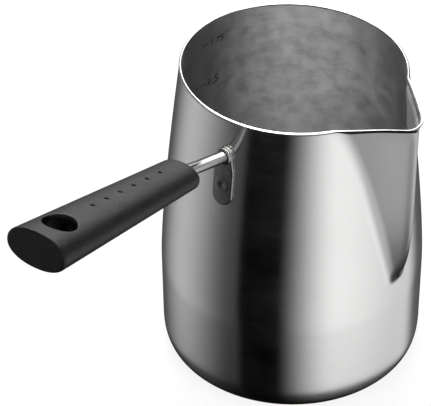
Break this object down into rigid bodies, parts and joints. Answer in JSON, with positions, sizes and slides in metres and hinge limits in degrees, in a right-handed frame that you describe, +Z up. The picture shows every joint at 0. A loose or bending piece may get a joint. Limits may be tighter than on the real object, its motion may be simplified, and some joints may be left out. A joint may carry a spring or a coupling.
{
  "type": "candle melting pot",
  "caption": "Single-wall steel melting pot with a V spout, a rod neck and a moulded oval grip with a hanging hole, for melting and pouring wax.",
  "frame": {"origin": "centre of the flat base, on the plane the pot rests on", "axes": "+Z up; the handle runs out along -Y and rises; the spout points 5 degrees from +X towards -Y"},
  "size_m": [0.1375, 0.2555, 0.184],
  "materials": {
    "pot_steel": "satin polished outside with fine grain, matte and faintly cloudy inside, bright buffed lip",
    "bracket_steel": "pressed sheet, satin, with a spot-weld mark",
    "weld_steel": "dull weld bead",
    "rod_steel": "bright polished rod",
    "grip_phenolic": "fine-grained moulded black, semi-matte",
    "fixing_steel": "blackened zinc plate"
  },
  "bodies": {
    "root": {"pot_body": "pot_steel", "handle_bracket": "bracket_steel", "neck_weld": "weld_steel", "neck_rod": "rod_steel", "handle_grip": "grip_phenolic", "screw_washer": "fixing_steel", "grip_screw": "fixing_steel"}
  },
  "joints": []
}
